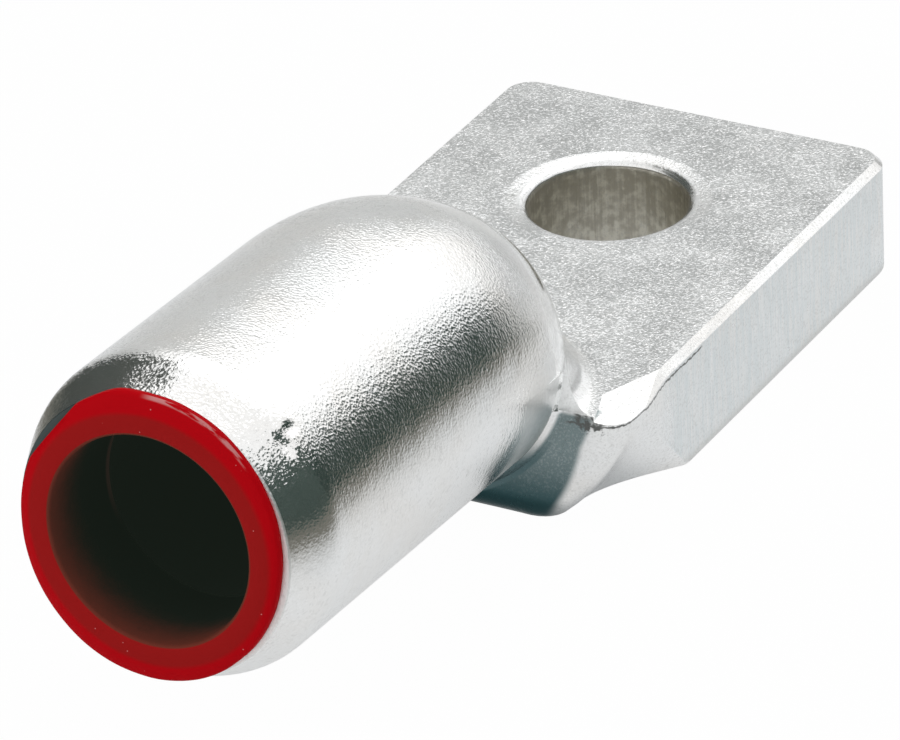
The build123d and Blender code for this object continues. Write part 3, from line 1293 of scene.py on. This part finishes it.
@dataclass(frozen=True)
class Card:
    """A matt card that stands on the floor in an arc round the lug, out of the camera's sight.

    Its foot runs along the floor from near to far, and from there it rises to its height.
    """

    name: str
    tone: Colour
    start_degrees: float
    end_degrees: float
    near: float
    far: float
    height: float
    foot: float = 0.001
    middle: Triple = (-0.04, 0.0, 0.0)
    steps: int = 24

    def build(self) -> bpy.types.Object:
        """Spins the card's section and hides it from the camera.

        Returns:
            The card.
        """
        shader = Shader.named(self.name)
        matt = shader.node("ShaderNodeBsdfDiffuse", {}, {"Color": (*self.tone, 1.0)})
        corners = (
            (self.near, 0.0, self.foot),
            (self.far, 0.0, self.foot),
            (self.far, 0.0, self.height),
        )
        sheet = bmesh.new()
        section = outline(sheet, corners, closed=False)
        start = Matrix.Rotation(math.radians(self.start_degrees), 4, "Z")
        bmesh.ops.transform(sheet, matrix=start, verts=sheet.verts)
        bmesh.ops.spin(
            sheet,
            geom=section,
            cent=(0, 0, 0),
            axis=(0, 0, 1),
            angle=math.radians(self.end_degrees - self.start_degrees),
            steps=self.steps,
        )
        bmesh.ops.translate(sheet, vec=self.middle, verts=sheet.verts)
        card = linked(self.name, to_mesh(self.name, sheet), shader.finish(matt.outputs[0]))
        card.visible_camera = False
        return card


@dataclass(frozen=True)
class PaleFloor:
    """A wide pale sheet that shows white to the camera and keeps the lug's shadow.

    Gloss sees painted shade on its glow, growing dusky towards the near side and the far right, and
    it is darker under the palm. The steps and bands are in millimetres, and the side and the drop
    are in metres.
    """

    side: float = 4.0
    drop: float = 0.0002
    cuts: int = 4
    tone: Colour = (0.78, 0.80, 0.82)
    # Painted shade that gloss sees on the floor's glow.
    dusk: Colour = (0.16, 0.155, 0.13)
    near_dusk_y: Step = Step(-13.0, -80.0)
    right_slope: float = 1.28
    right_x: float = -50.0
    right_dusk: Step = Step(-5.0, 25.0)
    right_dusk_y: Step = Step(30.0, 60.0)
    palm_x: Band = Band(-31.0, 20.0, 2.0)
    palm_y: Step = Step(17.0, 13.0)
    palm_share: float = 0.4
    camera_share: float = 0.985
    gloss_share: float = 0.52
    dusk_share: float = 0.45

    def material(self) -> bpy.types.Material:
        """Builds the floor's material.

        Returns:
            The material.
        """
        shader = Shader.named("pale_floor")
        camera, glossy, through = shader.rays()
        x, y = shader.axes(shader.place())[:2]
        # Painted shade on the floor's glow, seen only by gloss, towards the near side and the far
        # right.
        near = self.near_dusk_y.on(y) * glossy
        right_of = y - self.right_slope * (x - self.right_x)
        right = self.right_dusk.on(right_of) * self.right_dusk_y.on(y) * glossy
        under_palm = self.palm_x.on(x) * self.palm_y.on(abs(y))
        matt = shader.node("ShaderNodeBsdfDiffuse", {}, {"Color": (*self.tone, 1.0)})
        glow = shader.blend(near.math(Rule.LARGER, right), WHITE, self.dusk)
        bright = shader.node("ShaderNodeEmission", {}, {"Color": glow})
        seen = (glossy + through) * self.gloss_share * under_palm.between(1.0, self.palm_share)
        seen = camera * self.camera_share + seen + (near + right) * self.dusk_share
        mixed = {0: seen.math(Rule.SMALLER, 1.0), 1: matt.outputs[0], 2: bright.outputs[0]}
        return shader.finish(shader.node("ShaderNodeMixShader", {}, mixed).outputs[0])

    def build(self) -> bpy.types.Object:
        """Lays the floor just under the lug.

        Returns:
            The floor.
        """
        sheet = bmesh.new()
        cuts = {"x_segments": self.cuts, "y_segments": self.cuts}
        bmesh.ops.create_grid(sheet, size=self.side / 2, **cuts)
        bmesh.ops.translate(sheet, vec=(0, 0, -self.drop), verts=sheet.verts)
        floor = linked("floor", to_mesh("floor", sheet), self.material())
        return floor


@dataclass(frozen=True)
class Studio:
    """The pale floor, the cards, the soft light and the camera."""

    floor: PaleFloor = PaleFloor()
    world_level: float = 0.85
    lamp_watts: float = 0.45
    lamp_size: float = 0.6
    lamp_place: Triple = (0.30, -0.02, 0.45)
    lamp_aim: Triple = (-0.03, 0.0, 0.01)
    camera_place: Triple = (-0.52900, -0.28448, 0.32267)
    camera_turn: tuple[Triple, Triple, Triple] = (
        (0.47341833, 0.43839126, -0.76399489),
        (-0.87992487, 0.19589792, -0.43284665),
        (-0.04009118, 0.87717564, 0.47849304),
    )
    lens: float = 338.35
    sensor_width: float = 36.0
    clip_start: float = 0.01
    cards: tuple[Card, ...] = (
        Card("dark_card_left", (0.100, 0.135, 0.120), -150.0, -60.0, 0.15, 0.35, 0.26),
        Card("dark_card_near", (0.065, 0.095, 0.082), -60.0, -35.0, 0.16, 0.35, 0.15),
        Card("grey_card_near", (0.35, 0.37, 0.36), -35.0, -29.0, 0.12, 0.35, 0.10),
        Card("pale_backdrop", (0.85, 0.85, 0.85), -30.0, 8.0, 0.15, 0.40, 0.07),
        Card("grey_backdrop", (0.91, 0.91, 0.90), 8.0, 55.0, 0.11, 0.42, 0.28),
        Card("dark_card_right", (0.11, 0.12, 0.11), 55.0, 115.0, 0.11, 0.35, 0.56),
    )

    def build(self) -> None:
        """Puts up the floor, the cards, the world, the lamp and the camera."""
        self.floor.build()
        for card in self.cards:
            card.build()
        self.light_world()
        self.hang_lamp()
        self.set_camera()

    def light_world(self) -> None:
        """Plain light all round, white where the camera, metal or clear things see it."""
        world = bpy.data.worlds.new("studio")
        bpy.context.scene.world = world
        shader = Shader(world)
        camera, glossy, through = shader.rays()
        seen = (camera + glossy + through).math(Rule.SMALLER, 1.0)
        light = {"Color": (*WHITE, 1.0), "Strength": seen.between(self.world_level, 1.0)}
        background = shader.node("ShaderNodeBackground", {}, light)
        shader.node("ShaderNodeOutputWorld", {}, {"Surface": background.outputs[0]})

    def hang_lamp(self) -> None:
        """A broad soft lamp above and behind the lug."""
        lamp = bpy.data.lights.new("soft_lamp", "AREA")
        lamp.energy = self.lamp_watts
        lamp.size = self.lamp_size
        holder = bpy.data.objects.new("soft_lamp", lamp)
        holder.location = self.lamp_place
        aim = Vector(self.lamp_aim) - holder.location
        holder.rotation_euler = aim.to_track_quat("-Z", "Y").to_euler()
        bpy.context.scene.collection.objects.link(holder)

    def set_camera(self) -> None:
        """The camera at the photograph's place, angle and lens."""
        data = bpy.data.cameras.new("camera")
        data.sensor_width = self.sensor_width
        data.lens = self.lens
        data.clip_start = self.clip_start
        camera = bpy.data.objects.new("camera", data)
        turn = Matrix(self.camera_turn).to_4x4()
        camera.matrix_world = Matrix.Translation(self.camera_place) @ turn
        bpy.context.scene.collection.objects.link(camera)
        bpy.context.scene.camera = camera


def report(piece: bpy.types.Object) -> None:
    """Says how large a piece is and how many faces it has."""
    size = [round(side / MM, 2) for side in piece.dimensions]
    LOG.info("%s: %s mm, %d faces", piece.name, size, len(piece.data.polygons))


def main() -> None:
    """Builds the lug's pieces in order, then the studio."""
    logging.basicConfig(level=logging.INFO, format="%(message)s")
    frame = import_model()
    bpy.context.scene.view_settings.view_transform = "Standard"
    report(LugForging().dress(frame["nodes"]["lug_body"]))
    report(MouthCollar().build())
    Studio().build()


if __name__ == "__main__":
    main()
